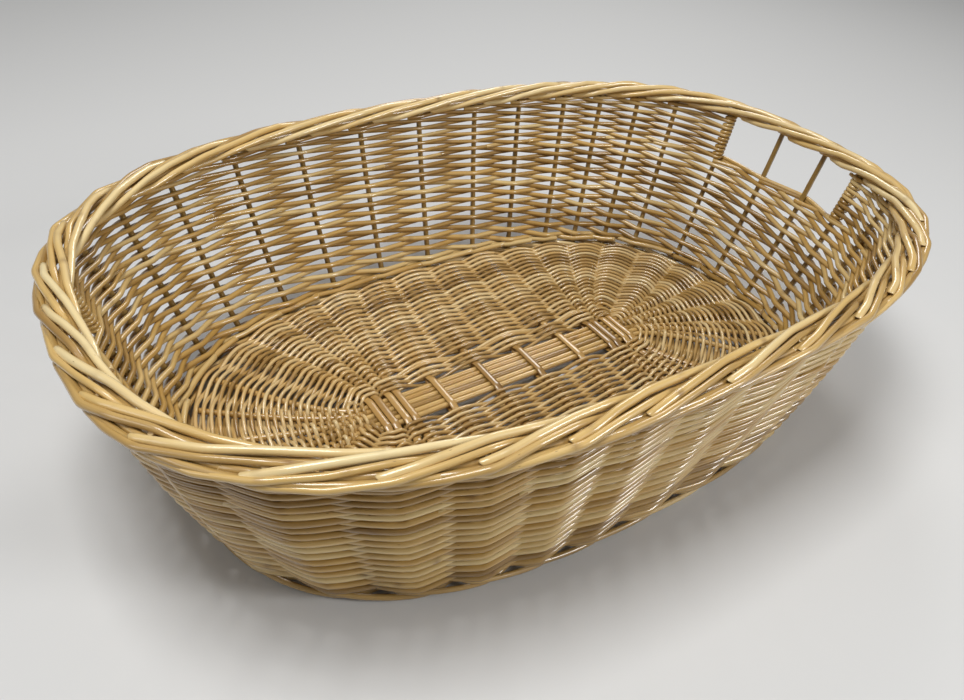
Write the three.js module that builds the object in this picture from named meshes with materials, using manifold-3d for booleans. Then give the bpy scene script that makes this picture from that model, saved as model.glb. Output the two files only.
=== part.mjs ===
// An oval pet bed woven from willow rods. Units are millimetres, +Z is up, the bed stands on z = 0,
// its centre is the origin, and its length runs along X. The object is made of:
// a base of cross sticks slit over a bundle of long rods, woven into a flat plate,
// upright stakes that flare outwards, a twisted wale round the foot, the woven side in three lengths,
// and a thick rolled border over the stake ends. Two handle holes are left under the border at the ends.
import * as THREE from 'three';
import { mergeVertices } from 'three/addons/utils/BufferGeometryUtils.js';
import Module from 'manifold-3d';

// Outline of the wall, measured on the line of the stakes
const FOOT_HALF_LENGTH = 285;
const FOOT_HALF_WIDTH = 187;
const RIM_HALF_LENGTH = 340;
const RIM_HALF_WIDTH = 224;
const OVAL_POWER = 2.65;
const FLARE_BULGE = 0.27;

// Heights above the ground
const RIM_HEIGHT = 174;
const HANDLE_HOLE_HEIGHT = 122;
const FOOT_HEIGHT = 12;
const STAKE_FOOT_HEIGHT = 3;
const BASE_MIDDLE_HEIGHT = 9;

// Rods and sticks
const STAKE_DIAMETER = 5;
const SIDE_ROD_DIAMETER = 4.8;
const BASE_ROD_DIAMETER = 3.3;
const LONG_ROD_DIAMETER = 5.5;
const STICK_WIDTH = 7;
const STICK_HEIGHT = 5.4;
const SPLIT_THICKNESS = 2.2;
const BORDER_WIDTH = 28;
const BORDER_HEIGHT = 18;
const BORDER_STRAND_RELIEF = 1.4;
const FOOT_WIDTH = 16;
const FOOT_STRAND_RELIEF = 0.8;

// Weave of the side up to the handle holes, and of the base
const LOWER_ROUNDS = 23;
const BOTTOM_PITCH = 5.45;
const STAKE_COVER = 0.8;
const VALLEY_REACH = 12;

// Layout of the base
const LONG_ROD_COUNT = 6;
const SINGLE_STICK_PLACES = [-71, -24, 23, 70];
const INNER_PAIR_PLACE = 107;
const PAIR_SPACING = 11;
const BASE_SKEW = 0.1;
const STICK_EYE_TAPER = 6;
const FAN_BEND = 30;
const STICK_END_MARGIN = 4;

// Distance along the rim from each stake to the next one, in runs of equal distances, anticlockwise.
// The first stake stands FIRST_STAKE past the middle of the +X end.
const FIRST_STAKE = 26;
const RUN_DISTANCES = [60, 41, 52, 64, 54, 46, 66, 51, 63, 44, 46, 53];
const RUN_COUNTS = [2, 3, 2, 5, 3, 4, 2, 3, 3, 5, 2, 1];

// Each handle hole lies between two edge stakes, numbered anticlockwise from 0, with bare stakes between
const RIGHT_HOLE = { before: 33, after: 36 };
const LEFT_HOLE = { before: 15, after: 18 };

const GAP = 0.3;
const STEPS_PER_STAKE = 2;
const ROUND_SIDES = 6;

const wasm = await Module();
wasm.setup();

// Solids: a BufferGeometry turns into a manifold solid and back

function toSolid(geometry) {
  const bare = geometry.clone();
  bare.deleteAttribute('normal');
  bare.deleteAttribute('uv');
  const merged = mergeVertices(bare, 1e-4);
  const mesh = new wasm.Mesh({
    numProp: 3,
    vertProperties: Float32Array.from(merged.attributes.position.array),
    triVerts: Uint32Array.from(merged.index.array),
  });
  return new wasm.Manifold(mesh);
}

function toGeometry(solid) {
  const mesh = solid.getMesh();
  const geometry = new THREE.BufferGeometry();
  geometry.setAttribute('position', new THREE.BufferAttribute(mesh.vertProperties, 3));
  geometry.setIndex(new THREE.BufferAttribute(mesh.triVerts, 1));
  return geometry;
}

function signedVolume(points, index) {
  let sum = 0;
  for (let i = 0; i < index.length; i += 3) {
    const [a, b, c] = [points[index[i]], points[index[i + 1]], points[index[i + 2]]];
    sum += a.dot(new THREE.Vector3().crossVectors(b, c));
  }
  return sum / 6;
}

// A closed body through sections that all have the same number of points. An open body gets two caps,
// each a strip of quads across its section. The diagonals climb with the point number.
function loft(sections, closed) {
  const size = sections[0].length;
  const points = sections.flat();
  const index = [];
  const steps = closed ? sections.length : sections.length - 1;
  for (let i = 0; i < steps; i += 1) {
    const here = i * size;
    const there = ((i + 1) % sections.length) * size;
    for (let j = 0; j < size; j += 1) {
      const k = (j + 1) % size;
      index.push(here + j, here + k, there + k);
      index.push(here + j, there + k, there + j);
    }
  }
  if (!closed) {
    const last = (sections.length - 1) * size;
    for (let j = 0; j < size / 2 - 1; j += 1) {
      const [a, b, c, d] = [j, j + 1, size - 2 - j, size - 1 - j];
      index.push(a, c, b, a, d, c);
      index.push(last + a, last + b, last + c, last + a, last + c, last + d);
    }
  }
  if (signedVolume(points, index) < 0) {
    index.reverse();
  }
  const geometry = new THREE.BufferGeometry();
  geometry.setFromPoints(points);
  geometry.setIndex(index);
  return geometry;
}

function block(low, high) {
  const size = new THREE.Vector3().subVectors(high, low);
  const middle = new THREE.Vector3().addVectors(low, high).multiplyScalar(0.5);
  const geometry = new THREE.BoxGeometry(size.x, size.y, size.z);
  geometry.translate(middle.x, middle.y, middle.z);
  return toSolid(geometry);
}

// The oval and the wall

function ovalPoint(halfLength, halfWidth, angle) {
  const c = Math.cos(angle);
  const s = Math.sin(angle);
  const power = 2 / OVAL_POWER;
  const x = halfLength * Math.sign(c) * Math.abs(c) ** power;
  const y = halfWidth * Math.sign(s) * Math.abs(s) ** power;
  return new THREE.Vector2(x, y);
}

// Running length round an oval, as angles and the distance walked anticlockwise to each
function walkOval(halfLength, halfWidth) {
  const count = 1440;
  const angles = [0];
  const walked = [0];
  let before = ovalPoint(halfLength, halfWidth, 0);
  for (let i = 1; i <= count; i += 1) {
    const angle = (2 * Math.PI * i) / count;
    const point = ovalPoint(halfLength, halfWidth, angle);
    angles.push(angle);
    walked.push(walked[i - 1] + point.distanceTo(before));
    before = point;
  }
  return { angles, walked, length: walked[count] };
}

function angleAtDistance(walk, distance) {
  const turns = Math.floor(distance / walk.length);
  const rest = distance - turns * walk.length;
  const next = Math.max(1, walk.walked.findIndex((value) => value >= rest));
  const span = walk.walked[next] - walk.walked[next - 1];
  const share = (rest - walk.walked[next - 1]) / span;
  return walk.angles[next - 1] + share * (walk.angles[next] - walk.angles[next - 1]);
}

const rimWalk = walkOval(RIM_HALF_LENGTH, RIM_HALF_WIDTH);
const stakeGaps = RUN_COUNTS.flatMap((count, run) => Array(count).fill(RUN_DISTANCES[run]));
const gapSum = stakeGaps.reduce((sum, distance) => sum + distance, 0);
const rimShare = rimWalk.length / gapSum;
const stakeCount = stakeGaps.length;

// Distance along the rim of the place number s: whole numbers are stakes, and 0.5 lies between two
function placeDistance(s) {
  const turns = Math.floor(s / stakeCount);
  const whole = Math.floor(s) - turns * stakeCount;
  const before = stakeGaps.slice(0, whole).reduce((sum, distance) => sum + distance, 0);
  const walked = FIRST_STAKE + before + (s - Math.floor(s)) * stakeGaps[whole];
  return walked * rimShare + turns * rimWalk.length;
}

function placeBeyond(stake, distance) {
  const side = distance < 0 ? stake - 1 : stake;
  const gap = stakeGaps[((side % stakeCount) + stakeCount) % stakeCount] * rimShare;
  return stake + distance / gap;
}

const FOOT_LINE_HEIGHT = FOOT_HEIGHT / 2;

function flareAt(z) {
  const u = (z - FOOT_LINE_HEIGHT) / (RIM_HEIGHT - FOOT_LINE_HEIGHT);
  return u + FLARE_BULGE * u * (1 - u);
}

// Point of the wall at the place number s and the height z, moved outwards from the stake line
function wallPoint(s, z, outwards = 0) {
  const flare = flareAt(z);
  const halfLength = FOOT_HALF_LENGTH + (RIM_HALF_LENGTH - FOOT_HALF_LENGTH) * flare + outwards;
  const halfWidth = FOOT_HALF_WIDTH + (RIM_HALF_WIDTH - FOOT_HALF_WIDTH) * flare + outwards;
  const flat = ovalPoint(halfLength, halfWidth, angleAtDistance(rimWalk, placeDistance(s)));
  return new THREE.Vector3(flat.x, flat.y, z);
}

// Stakes

const STAKE_LEVELS = 5;

function stakeGeometry(number, clearance) {
  const low = STAKE_FOOT_HEIGHT - clearance;
  const high = RIM_HEIGHT + clearance;
  const radius = STAKE_DIAMETER / 2 + clearance / Math.cos(Math.PI / ROUND_SIDES);
  const sections = [];
  for (let i = 0; i < STAKE_LEVELS; i += 1) {
    const centre = wallPoint(number, low + ((high - low) * i) / (STAKE_LEVELS - 1));
    const ring = [];
    for (let j = 0; j < ROUND_SIDES; j += 1) {
      const angle = (2 * Math.PI * j) / ROUND_SIDES;
      ring.push(centre.clone().add(new THREE.Vector3(radius * Math.cos(angle), radius * Math.sin(angle), 0)));
    }
    sections.push(ring);
  }
  return loft(sections, false);
}

const stakeNumbers = [...Array(stakeCount).keys()];
const stakeHoles = stakeNumbers.map((number) => toSolid(stakeGeometry(number, GAP)));

function cutStakeHoles(solid, numbers) {
  return numbers.reduce((rest, number) => rest.subtract(stakeHoles[number]), solid);
}

// A ring of twisted strands along the wall: the section is an oval whose points stand out and fall back
// in turn, and the standing points move on by one at each step, so that the strands climb over the ring.
function ropeRing({ strands, height, halfWidth, halfHeight, relief }) {
  const sides = 2 * strands;
  const sections = [];
  for (let i = 0; i < stakeCount * STEPS_PER_STAKE; i += 1) {
    const s = i / STEPS_PER_STAKE;
    const section = [];
    for (let j = 0; j < sides; j += 1) {
      const angle = (2 * Math.PI * j) / sides;
      const fallBack = (i + j) % 2 === 0 ? 0 : relief;
      const across = (halfWidth - fallBack) * Math.cos(angle);
      const up = (halfHeight - fallBack) * Math.sin(angle);
      const point = wallPoint(s, height, across);
      section.push(point.add(new THREE.Vector3(0, 0, up)));
    }
    sections.push(section);
  }
  return toSolid(loft(sections, true));
}

const REACH = 2 * RIM_HALF_LENGTH;
const BORDER_STRANDS = 4;
const BORDER_UNDERSIDE = RIM_HEIGHT - BORDER_HEIGHT / 2 + BORDER_STRAND_RELIEF + GAP;

function borderGeometry() {
  const ring = ropeRing({
    strands: BORDER_STRANDS,
    height: RIM_HEIGHT,
    halfWidth: BORDER_WIDTH / 2,
    halfHeight: BORDER_HEIGHT / 2,
    relief: BORDER_STRAND_RELIEF,
  });
  const slab = block(
    new THREE.Vector3(-REACH, -REACH, BORDER_UNDERSIDE),
    new THREE.Vector3(REACH, REACH, RIM_HEIGHT + BORDER_HEIGHT),
  );
  return toGeometry(cutStakeHoles(ring.intersect(slab), stakeNumbers));
}

const FOOT_STRANDS = 3;

// The ring is a little taller than the foot, so that the ground and the side weave each meet a flat face
function footWaleGeometry() {
  const ring = ropeRing({
    strands: FOOT_STRANDS,
    height: FOOT_LINE_HEIGHT,
    halfWidth: FOOT_WIDTH / 2,
    halfHeight: (FOOT_HEIGHT / 2 + GAP) / Math.sin(Math.PI / FOOT_STRANDS) + FOOT_STRAND_RELIEF,
    relief: FOOT_STRAND_RELIEF,
  });
  const slab = block(
    new THREE.Vector3(-REACH, -REACH, 0),
    new THREE.Vector3(REACH, REACH, FOOT_HEIGHT),
  );
  return toGeometry(cutStakeHoles(ring.intersect(slab), stakeNumbers));
}

// The woven side. One rod starts behind each stake and climbs the wall, in front of one stake and behind the
// next one. So all stakes have their front rods at the same heights, with the rods behind them halfway
// between those, and between two stakes all rods cross in the middle of the wall.

const rodInFront = STAKE_DIAMETER / 2 + SIDE_ROD_DIAMETER;
const stakeCovered = STAKE_DIAMETER / 2 + GAP + STAKE_COVER;
const rodsCrossing = SIDE_ROD_DIAMETER / 2;

// Points of the wall at one place, up the outside and down the inside, with the stand-offs at each height
function wallSection(s, heights, outer, inner) {
  const outside = heights.map((z, level) => wallPoint(s, z, outer[level]));
  const inside = heights.map((z, level) => wallPoint(s, z, -inner[level]));
  return [...outside, ...inside.reverse()];
}

// A row of the lower side is a height at which rods pass the stakes. A real rod climbs by one row from each
// stake to the next, and the rows here are level. They lie closer towards the top, where rods are thinner.
function lowerSideWeaveGeometry() {
  const low = FOOT_HEIGHT + GAP;
  const high = HANDLE_HOLE_HEIGHT - GAP / 2;
  const first = low + SIDE_ROD_DIAMETER / 2;
  const last = high - SIDE_ROD_DIAMETER / 2;
  const steps = LOWER_ROUNDS - 1;
  const closing = (BOTTOM_PITCH * steps - (last - first)) / steps ** 2;
  const rows = [...Array(LOWER_ROUNDS).keys()];
  const heights = rows.map((row) => first + BOTTOM_PITCH * row - closing * row ** 2);
  const standOffs = (stake, side) => {
    const offs = rows.map((row) => {
      if (!Number.isInteger(stake)) {
        return rodsCrossing;
      }
      return (row + side) % 2 === 0 ? rodInFront : stakeCovered;
    });
    return [offs[0], ...offs, offs[steps]];
  };
  const sections = [];
  for (let step = 0; step < stakeCount * STEPS_PER_STAKE; step += 1) {
    const stake = step / STEPS_PER_STAKE;
    sections.push(wallSection(stake, [low, ...heights, high], standOffs(stake, 0), standOffs(stake, 1)));
  }
  return toGeometry(cutStakeHoles(toSolid(loft(sections, true)), stakeNumbers));
}

// The side above, where rods turn back round the edge stakes of a handle hole, so that the weave runs on past
// each by one rod. It is thick at the stakes and thin between them, with no rows.
function upperSideWeaveGeometry(first, last) {
  const places = [placeBeyond(first, -rodInFront)];
  for (let i = first * STEPS_PER_STAKE; i <= last * STEPS_PER_STAKE; i += 1) {
    places.push(i / STEPS_PER_STAKE);
  }
  places.push(placeBeyond(last, rodInFront));
  const low = HANDLE_HOLE_HEIGHT + GAP / 2;
  const high = BORDER_UNDERSIDE - GAP;
  const heights = [low, (low + high) / 2, high];
  const sections = places.map((s) => {
    const isBetween = Math.abs(s % 1) === 1 / STEPS_PER_STAKE;
    const standOffs = heights.map(() => (isBetween ? rodsCrossing : rodInFront));
    return wallSection(s, heights, standOffs, standOffs);
  });
  const numbers = stakeNumbers.filter((number) => number >= first && number <= last);
  return toGeometry(cutStakeHoles(toSolid(loft(sections, false)), numbers));
}

// The base

const bundlePitch = LONG_ROD_DIAMETER + GAP;
const bundleHalfWidth = (LONG_ROD_COUNT * bundlePitch) / 2;
const pairPitch = STICK_WIDTH + 2 * GAP;
const outerPairPlace = INNER_PAIR_PLACE + pairPitch + PAIR_SPACING;
const pairPlaces = [INNER_PAIR_PLACE, INNER_PAIR_PLACE + pairPitch, outerPairPlace, outerPairPlace + pairPitch];
const stickPlaces = [...pairPlaces.map((x) => -x).reverse(), ...SINGLE_STICK_PLACES, ...pairPlaces];
const spokeCount = 2 * (stickPlaces.length + LONG_ROD_COUNT);
const baseHalfThickness = STICK_HEIGHT / 2 + BASE_ROD_DIAMETER;
const baseHalfLength = FOOT_HALF_LENGTH - FOOT_WIDTH / 2 - GAP;
const baseHalfWidth = FOOT_HALF_WIDTH - FOOT_WIDTH / 2 - GAP;
const crossHalfLength = outerPairPlace + pairPitch + STICK_WIDTH / 2 + STICK_EYE_TAPER;
const crossHalfWidth = bundleHalfWidth + STICK_EYE_TAPER;
const spokeEndLength = baseHalfLength - STICK_END_MARGIN;
const spokeEndWidth = baseHalfWidth - STICK_END_MARGIN;
const spokeWalk = walkOval(spokeEndLength, spokeEndWidth);

// End of the spoke number k, spaced evenly round the edge, and skewed as the sticks are
function spokeEnd(k) {
  const distance = ((k + 0.5) * spokeWalk.length) / spokeCount - BASE_SKEW * spokeEndWidth;
  return ovalPoint(spokeEndLength, spokeEndWidth, angleAtDistance(spokeWalk, distance));
}

// Where the spoke number k leaves the cross and in which direction. Spokes are numbered anticlockwise from
// the +X end: half of the long rods, the sticks, and the other half of the long rods make half a turn.
function spokeStart(k) {
  const halfTurn = spokeCount / 2;
  const rods = LONG_ROD_COUNT / 2;
  const turned = k % halfTurn;
  const sign = k < halfTurn ? 1 : -1;
  if (turned < rods) {
    const start = new THREE.Vector2(crossHalfLength, (turned + 0.5) * bundlePitch);
    return { start: start.multiplyScalar(sign), heading: new THREE.Vector2(sign, 0) };
  }
  if (turned >= halfTurn - rods) {
    const start = new THREE.Vector2(-crossHalfLength, (halfTurn - turned - 0.5) * bundlePitch);
    return { start: start.multiplyScalar(sign), heading: new THREE.Vector2(-sign, 0) };
  }
  const fromEnd = turned - rods;
  const x = stickPlaces[sign > 0 ? stickPlaces.length - 1 - fromEnd : fromEnd];
  return { start: new THREE.Vector2(x, sign * crossHalfWidth), heading: new THREE.Vector2(0, sign) };
}

const SPOKE_STEPS = 4;

// A spoke as points in plan from the cross to the edge, lengthened a little for its tunnel
function spokeRoute(k, extra) {
  const { start, heading } = spokeStart(k);
  const end = spokeEnd(k);
  const bend = start.clone().addScaledVector(heading, FAN_BEND);
  const onwards = end.clone().sub(bend).normalize();
  const tip = end.clone().addScaledVector(onwards, extra);
  return new THREE.QuadraticBezierCurve(start, bend, tip).getPoints(SPOKE_STEPS);
}

// A hexagonal bar along points in plan, with a half width and a half height at each point
function barGeometry(points, halfWidths, halfHeights) {
  const sections = points.map((point, i) => {
    const before = points[Math.max(0, i - 1)];
    const after = points[Math.min(points.length - 1, i + 1)];
    const heading = after.clone().sub(before).normalize();
    const ring = [];
    for (let j = 0; j < ROUND_SIDES; j += 1) {
      const angle = (2 * Math.PI * j) / ROUND_SIDES;
      const across = halfWidths[i] * Math.cos(angle);
      const up = (halfHeights[i] * Math.sin(angle)) / Math.sin(Math.PI / 3);
      const x = point.x - heading.y * across;
      const y = point.y + heading.x * across;
      ring.push(new THREE.Vector3(x, y, BASE_MIDDLE_HEIGHT + up));
    }
    return ring;
  });
  return loft(sections, false);
}

// Number of the spoke that one half of a cross stick ends at: half 1 is the +Y half
function stickSpoke(number, half) {
  const fromEnd = stickPlaces.length - 1 - number;
  const firstSpoke = LONG_ROD_COUNT / 2;
  return half > 0 ? firstSpoke + fromEnd : spokeCount - 1 - firstSpoke - fromEnd;
}

function crossStickGeometry(number, clearance) {
  const x = stickPlaces[number];
  const eyeHeight = LONG_ROD_DIAMETER / 2 + GAP + SPLIT_THICKNESS + clearance;
  const barHeight = STICK_HEIGHT / 2 + clearance;
  const halfPoints = (half) => spokeRoute(stickSpoke(number, half), clearance);
  const eyeEnds = [-bundleHalfWidth, bundleHalfWidth].map((y) => new THREE.Vector2(x, y));
  const points = [...halfPoints(-1).reverse(), ...eyeEnds, ...halfPoints(1)];
  const halfWidths = points.map(() => STICK_WIDTH / 2 + clearance / Math.cos(Math.PI / 6));
  const halfHeights = points.map((point) => (eyeEnds.includes(point) ? eyeHeight : barHeight));
  return barGeometry(points, halfWidths, halfHeights);
}

function slitStickGeometry(number) {
  const x = stickPlaces[number];
  const slitHeight = LONG_ROD_DIAMETER / 2 + GAP;
  const slit = block(
    new THREE.Vector3(x - STICK_WIDTH, -bundleHalfWidth - GAP, BASE_MIDDLE_HEIGHT - slitHeight),
    new THREE.Vector3(x + STICK_WIDTH, bundleHalfWidth + GAP, BASE_MIDDLE_HEIGHT + slitHeight),
  );
  return toGeometry(toSolid(crossStickGeometry(number, 0)).subtract(slit));
}

function longRodGeometry(number, clearance) {
  const rods = LONG_ROD_COUNT / 2;
  const leftSpoke = spokeCount / 2 + rods - 1 - number;
  const rightSpoke = (number - rods + spokeCount) % spokeCount;
  const points = [...spokeRoute(leftSpoke, clearance).reverse(), ...spokeRoute(rightSpoke, clearance)];
  const radius = LONG_ROD_DIAMETER / 2;
  const halfWidths = points.map(() => radius + clearance / Math.cos(Math.PI / 6));
  const halfHeights = points.map(() => radius * Math.sin(Math.PI / 3) + clearance);
  return barGeometry(points, halfWidths, halfHeights);
}

const stickNumbers = [...stickPlaces.keys()];
const longRodNumbers = [...Array(LONG_ROD_COUNT).keys()];

// Point of the edge of the plate at the spoke number k, or between two spokes
function edgePoint(k) {
  const distance = ((k + 0.5) * spokeWalk.length) / spokeCount - BASE_SKEW * spokeEndWidth;
  return ovalPoint(baseHalfLength, baseHalfWidth, angleAtDistance(spokeWalk, distance));
}

// The plate is thick over each spoke, where rods pass above and below it, and has a valley between two
// spokes, where the rods cross. The valley is shallow where the spokes are close together.
function baseWeaveGeometry() {
  const spokes = [...Array(spokeCount).keys()];
  const routes = spokes.map((k) => spokeRoute(k, 0));
  const plateSection = (route, k, halfHeights) => {
    const plan = [...route.slice(0, SPOKE_STEPS), edgePoint(k)];
    const level = (side) => plan.map(({ x, y }, i) => (
      new THREE.Vector3(x, y, BASE_MIDDLE_HEIGHT + side * halfHeights[i])
    ));
    return [...level(1), ...level(-1).reverse()];
  };
  const sections = spokes.flatMap((k) => {
    const here = routes[k];
    const next = routes[(k + 1) % spokeCount];
    const middle = here.map((point, i) => point.clone().add(next[i]).multiplyScalar(0.5));
    if (here[0].x !== next[0].x && here[0].y !== next[0].y) {
      middle[0].set(Math.sign(middle[0].x) * crossHalfLength, Math.sign(middle[0].y) * crossHalfWidth);
    }
    const valley = here.map((point, i) => {
      const share = Math.min(1, point.distanceTo(next[i]) / (2 * VALLEY_REACH));
      return baseHalfThickness - (baseHalfThickness - BASE_ROD_DIAMETER / 2) * share;
    });
    const ridge = here.map(() => baseHalfThickness);
    return [plateSection(here, k, ridge), plateSection(middle, k + 0.5, valley)];
  });
  const tunnels = [
    ...stickNumbers.map((number) => toSolid(crossStickGeometry(number, GAP))),
    ...longRodNumbers.map((number) => toSolid(longRodGeometry(number, GAP))),
  ];
  const plate = toSolid(loft(sections, true));
  return toGeometry(tunnels.reduce((rest, tunnel) => rest.subtract(tunnel), plate));
}

// Materials: varnished buff willow, each use of it in its own shade

function willow(colour, roughness) {
  return new THREE.MeshStandardMaterial({ color: colour, roughness, metalness: 0 });
}

const stakeWillow = willow('#a9793f', 0.45);
const sideWillow = willow('#c6995c', 0.42);
const borderWillow = willow('#d3ab70', 0.38);
const footWillow = willow('#b98a4c', 0.45);
const stickWillow = willow('#c08f50', 0.45);
const longRodWillow = willow('#c99c5e', 0.4);
const baseWillow = willow('#cba268', 0.42);

// The assembly

const bed = new THREE.Group();

function place(name, geometry, material) {
  const mesh = new THREE.Mesh(geometry, material);
  mesh.name = name;
  bed.add(mesh);
}

const twoDigits = (number) => String(number + 1).padStart(2, '0');

longRodNumbers.forEach((number) => {
  place(`base_long_rod_${number + 1}`, longRodGeometry(number, 0), longRodWillow);
});
stickNumbers.forEach((number) => {
  place(`base_cross_stick_${twoDigits(number)}`, slitStickGeometry(number), stickWillow);
});
place('base_weave', baseWeaveGeometry(), baseWillow);
place('foot_wale', footWaleGeometry(), footWillow);
stakeNumbers.forEach((number) => {
  place(`stake_${twoDigits(number)}`, stakeGeometry(number, 0), stakeWillow);
});
place('side_weave_lower', lowerSideWeaveGeometry(), sideWillow);
place('side_weave_back', upperSideWeaveGeometry(RIGHT_HOLE.after - stakeCount, LEFT_HOLE.before), sideWillow);
place('side_weave_front', upperSideWeaveGeometry(LEFT_HOLE.after, RIGHT_HOLE.before), sideWillow);
place('border', borderGeometry(), borderWillow);

export default bed;
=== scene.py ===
# %% [markdown]
# # An oval pet bed, woven rod by rod
# The real bed is a basket: nothing in it but willow rods, a coat of varnish and a good deal of bending. It
# could be made as a smooth bowl with a pattern of weave over it, but such a bowl goes flat at its edges and
# at every hole. A basket looks right when its rods do what real rods do: pass in front of one stake and
# behind the next, have a thick end and a thin end, and stop where they rest on a stake. So this lesson works
# out the path of each rod and carries a round section along it.

import math

import bpy
import numpy as np
from mathutils import Matrix, Vector


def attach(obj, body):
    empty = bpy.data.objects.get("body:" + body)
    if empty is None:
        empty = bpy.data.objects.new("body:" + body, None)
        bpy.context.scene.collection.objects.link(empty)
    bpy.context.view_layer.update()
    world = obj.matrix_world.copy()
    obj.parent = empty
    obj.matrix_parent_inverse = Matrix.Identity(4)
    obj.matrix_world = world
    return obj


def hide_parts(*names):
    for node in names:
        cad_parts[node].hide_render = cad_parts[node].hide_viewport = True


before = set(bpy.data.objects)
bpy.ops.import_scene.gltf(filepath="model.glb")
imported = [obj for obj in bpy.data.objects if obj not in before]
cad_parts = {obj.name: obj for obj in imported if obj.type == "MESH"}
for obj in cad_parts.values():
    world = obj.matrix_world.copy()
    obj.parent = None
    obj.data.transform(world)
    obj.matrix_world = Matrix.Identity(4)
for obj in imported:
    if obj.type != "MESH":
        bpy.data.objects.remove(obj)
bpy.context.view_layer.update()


def rounded(values):
    """The same numbers with four decimals, for printing."""
    return tuple(round(value, 4) for value in values)


def add_object(name, data):
    """Puts a mesh, a camera or a lamp into the scene under a name."""
    added = bpy.data.objects.new(name, data)
    bpy.context.scene.collection.objects.link(added)
    return added


# %% [markdown]
# ## Where the eye stands
# The bed is seen from above its left front corner. A camera can be moved by hand until the view looks right,
# but then one error hides another. Here its place, its direction and its slight roll were solved for, so that
# the oval of the rim and the oval of the foot both fall where they should.

# %% Camera
SENSOR_WIDTH_MM = 36.0
FOCAL_LENGTH_MM = 30.04
CAMERA_PLACE = Vector((-0.3520, -0.4508, 0.4812))
CAMERA_FORWARD = Vector((0.4545, 0.6392, -0.6204))
CAMERA_UP = Vector((0.2928, 0.5506, 0.7818))


def make_camera():
    """Turns the camera so that it looks along CAMERA_FORWARD, with CAMERA_UP towards the picture's top."""
    data = bpy.data.cameras.new("camera")
    data.sensor_width = SENSOR_WIDTH_MM
    data.lens = FOCAL_LENGTH_MM
    camera = add_object("camera", data)
    forward = CAMERA_FORWARD.normalized()
    right = forward.cross(CAMERA_UP).normalized()
    up = right.cross(forward)
    turn = Matrix((right, up, -forward)).transposed()
    camera.matrix_world = Matrix.Translation(CAMERA_PLACE) @ turn.to_4x4()
    bpy.context.scene.camera = camera
    print("camera at", rounded(camera.matrix_world.translation))


make_camera()

# %% [markdown]
# ## The wall as a formula
# The side of the bed is an oval that grows from the foot to the rim. Its rods could be placed in x, y and z,
# but then no sentence about weaving fits the numbers. So they are measured from one smooth surface, the one
# that the middles of the stakes lie on. A place on it has two numbers: which stake it is at, counted
# anticlockwise from the +X end with fractions between stakes, and how high it is. A third number moves the
# point outwards. With that, "in front of stake 7, behind stake 8" is a plain line of code.

# %% The oval and the wall
MM = 0.001
OVAL_POWER = 2.65
OVAL_STEPS = 7200
FLARE_BULGE = 0.27
FOOT_HALF = np.array([0.285, 0.187])
RIM_HALF = np.array([0.340, 0.224])
RIM_HEIGHT = 0.174
FOOT_LINE_HEIGHT = 0.006


def oval(half_length, half_width, angle):
    """A superellipse: each of cosine and sine is raised to 2 / OVAL_POWER and stretched to its half size."""
    c = np.cos(angle)
    s = np.sin(angle)
    power = 2 / OVAL_POWER
    return half_length * np.sign(c) * np.abs(c) ** power, half_width * np.sign(s) * np.abs(s) ** power


def walk_oval(half_length, half_width):
    """Angles round an oval and the distance walked to each of them, as the sum of short straight steps."""
    angles = np.linspace(0, 2 * np.pi, OVAL_STEPS + 1)
    x, y = oval(half_length, half_width, angles)
    walked = np.concatenate([[0], np.cumsum(np.hypot(np.diff(x), np.diff(y)))])
    return angles, walked


rim_angles, rim_walked = walk_oval(*RIM_HALF)
rim_length = rim_walked[-1]
print("rim:", round(rim_length, 3), "m round")

# %% Where the stakes stand
STAKES = [f"stake_{number:02d}" for number in range(1, 36)]
STAKE_COUNT = len(STAKES)
LEVEL_WITHIN = 1e-5


def node_points(name):
    """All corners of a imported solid, as an array of points."""
    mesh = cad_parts[name].data
    points = np.empty(3 * len(mesh.vertices))
    mesh.vertices.foreach_get("co", points)
    return points.reshape(-1, 3)


def stake_angle(name):
    """The oval's angle at a stake, from the middle of the stake's top, by undoing the superellipse."""
    points = node_points(name)
    top = points[points[:, 2] > points[:, 2].max() - LEVEL_WITHIN]
    x, y = (top.min(0) + top.max(0))[:2] / 2 / RIM_HALF
    half = OVAL_POWER / 2
    angle = math.atan2(math.copysign(abs(y) ** half, y), math.copysign(abs(x) ** half, x))
    return angle % (2 * math.pi)


stake_walked = np.interp([stake_angle(name) for name in STAKES], rim_angles, rim_walked)
stake_walked = np.append(stake_walked, stake_walked[0] + rim_length)


def place_angle(place):
    """The oval's angle at a place number: whole numbers are stakes, and fractions lie between them."""
    turns = np.floor(place / STAKE_COUNT)
    walked = np.interp(place - turns * STAKE_COUNT, np.arange(STAKE_COUNT + 1), stake_walked)
    return np.interp(np.mod(walked, rim_length), rim_walked, rim_angles)


def wall(place, height, outwards):
    """Point of the wall. The half sizes go from foot to rim by u + FLARE_BULGE u (1 - u), u being height."""
    place, height, outwards = np.broadcast_arrays(place, height, outwards)
    u = (height - FOOT_LINE_HEIGHT) / (RIM_HEIGHT - FOOT_LINE_HEIGHT)
    flare = u + FLARE_BULGE * u * (1 - u)
    half = FOOT_HALF + (RIM_HALF - FOOT_HALF) * flare[..., None] + outwards[..., None]
    x, y = oval(half[..., 0], half[..., 1], place_angle(place))
    return np.stack([x, y, height], -1)


def stake_gap(stake):
    """Distance along the rim from a stake to the next one, in metres."""
    whole = int(stake) % STAKE_COUNT
    return stake_walked[whole + 1] - stake_walked[whole]


gaps = [stake_gap(stake) / MM for stake in range(STAKE_COUNT)]
print("stakes:", STAKE_COUNT, "at distances of", round(min(gaps)), "to", round(max(gaps)), "mm")

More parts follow.
